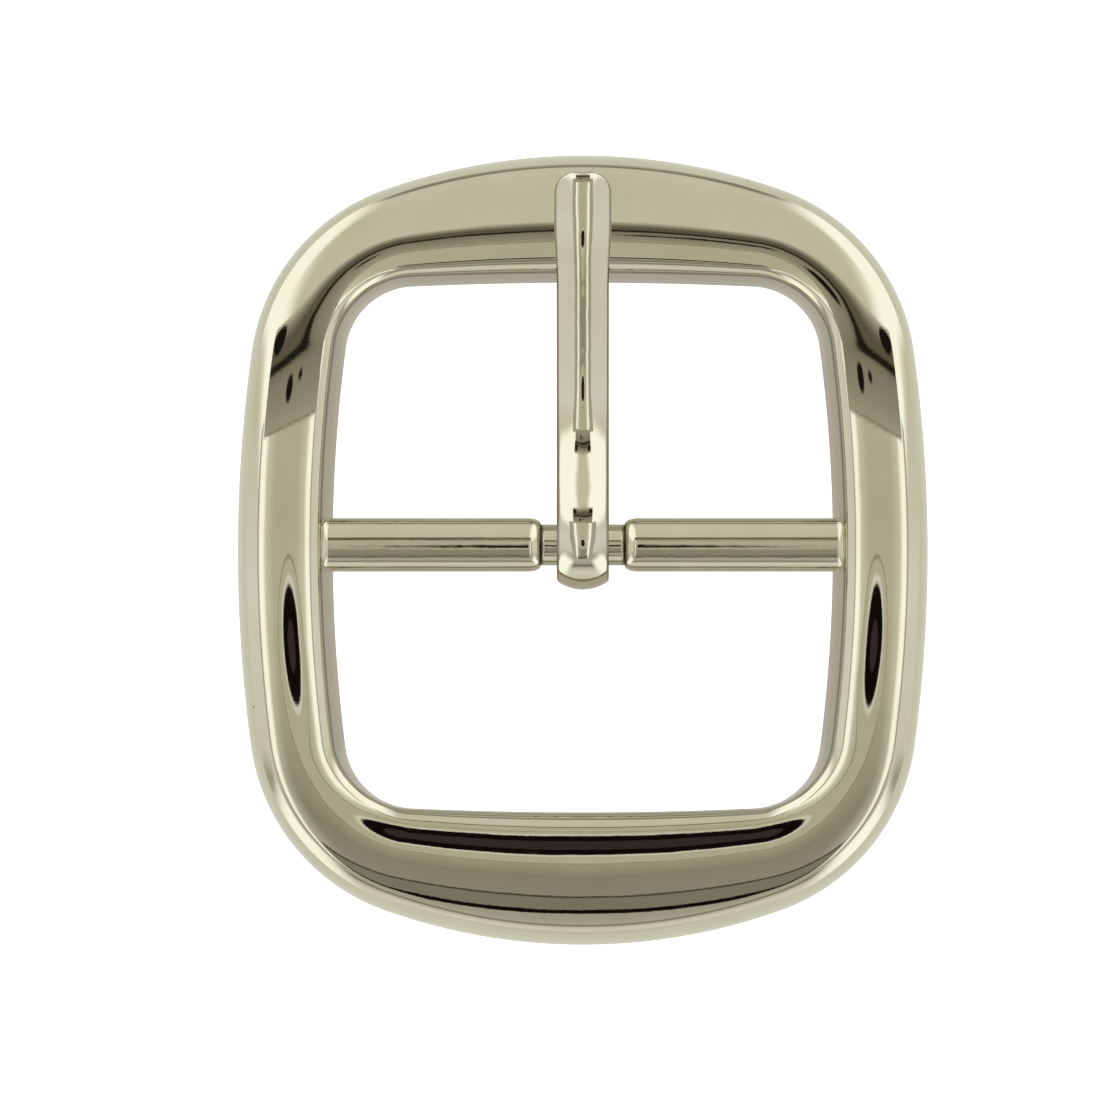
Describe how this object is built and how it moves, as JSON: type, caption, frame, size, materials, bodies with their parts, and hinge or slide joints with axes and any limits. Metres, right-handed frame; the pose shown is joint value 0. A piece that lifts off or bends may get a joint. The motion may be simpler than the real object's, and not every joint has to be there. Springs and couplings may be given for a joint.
{
  "type": "belt buckle",
  "caption": "Centre-bar belt buckle: a bowed, round-cornered polished ring with a bar across its middle and a swinging tongue.",
  "frame": {"origin": "on the plane that the flat back rests on, under the middle of the object's box", "axes": "+X along the centre bar, +Y towards the end bar that the tongue rests on, +Z out of the front face"},
  "size_m": [0.055, 0.0632, 0.0079],
  "materials": {
    "frame_nickel": "polished nickel plate on a zinc casting",
    "bar_nickel": "nickel plate, polished less evenly than the frame",
    "tongue_nickel": "polished nickel plate"
  },
  "bodies": {
    "frame": {"frame": "frame_nickel", "centre_bar": "bar_nickel"},
    "tongue": {"tongue": "tongue_nickel"}
  },
  "joints": [
    {"name": "tongue_hinge", "type": "hinge", "parent": "frame", "child": "tongue", "pos_m": [0, 0, 0.004], "axis": [1, 0, 0], "range_deg": [0, 165]}
  ]
}
